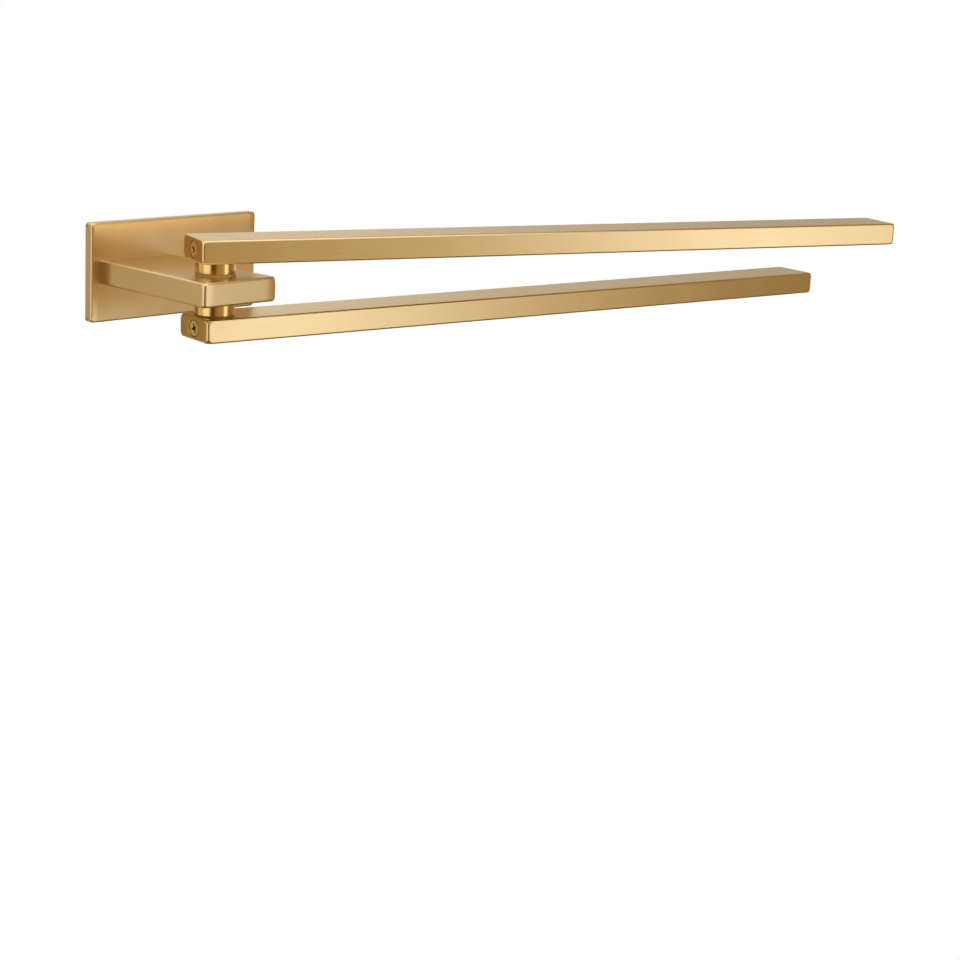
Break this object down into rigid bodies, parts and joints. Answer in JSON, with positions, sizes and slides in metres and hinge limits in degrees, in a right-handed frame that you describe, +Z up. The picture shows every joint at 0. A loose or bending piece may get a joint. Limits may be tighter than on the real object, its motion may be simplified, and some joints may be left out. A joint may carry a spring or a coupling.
{
  "type": "swivel towel bar",
  "caption": "Wall-mounted towel bar: flat arms swing about an upright pin in a flat post on a rectangular wall plate.",
  "frame": {"origin": "centre of the wall plate, on the wall: the middle of the wall screws' pattern", "axes": "+X to the right along the wall, seen from the room; -Y out of the wall; +Z up, along the pivot pin"},
  "size_m": [0.4616, 0.2146, 0.0546],
  "materials": {
    "satin_brass": "satin, finely brushed along each bar",
    "polished_brass": "polished",
    "bush_bronze": "plain bearing bronze",
    "washer_nylon": "plain",
    "bright_steel": "bright turned",
    "zinc_steel": "zinc plated"
  },
  "bodies": {
    "wall_side": {"wall_bracket": "zinc_steel", "bracket_tongue": "zinc_steel", "tongue_screws": "bright_steel", "backplate": "satin_brass", "post": "satin_brass", "post_lock_screws": "bright_steel", "pivot_pin": "bright_steel", "pin_lock_screw": "bright_steel", "upper_post_washer": "washer_nylon", "lower_post_washer": "washer_nylon", "upper_collar": "polished_brass", "lower_collar": "polished_brass", "lower_arm_washer": "washer_nylon"},
    "upper_swing": {"upper_arm": "satin_brass", "upper_arm_bush": "bush_bronze", "upper_end_screw": "polished_brass"},
    "lower_swing": {"lower_arm": "satin_brass", "lower_arm_bush": "bush_bronze", "lower_end_screw": "polished_brass"}
  },
  "joints": [
    {"name": "upper_arm_swing", "type": "hinge", "parent": "wall_side", "child": "upper_swing", "pos_m": [-0.0253, -0.072, 0], "axis": [0, 0, 1], "range_deg": [-169.6, 24.4]},
    {"name": "lower_arm_swing", "type": "hinge", "parent": "wall_side", "child": "lower_swing", "pos_m": [-0.0253, -0.072, 0], "axis": [0, 0, 1], "range_deg": [-179.5, 14.5]}
  ]
}
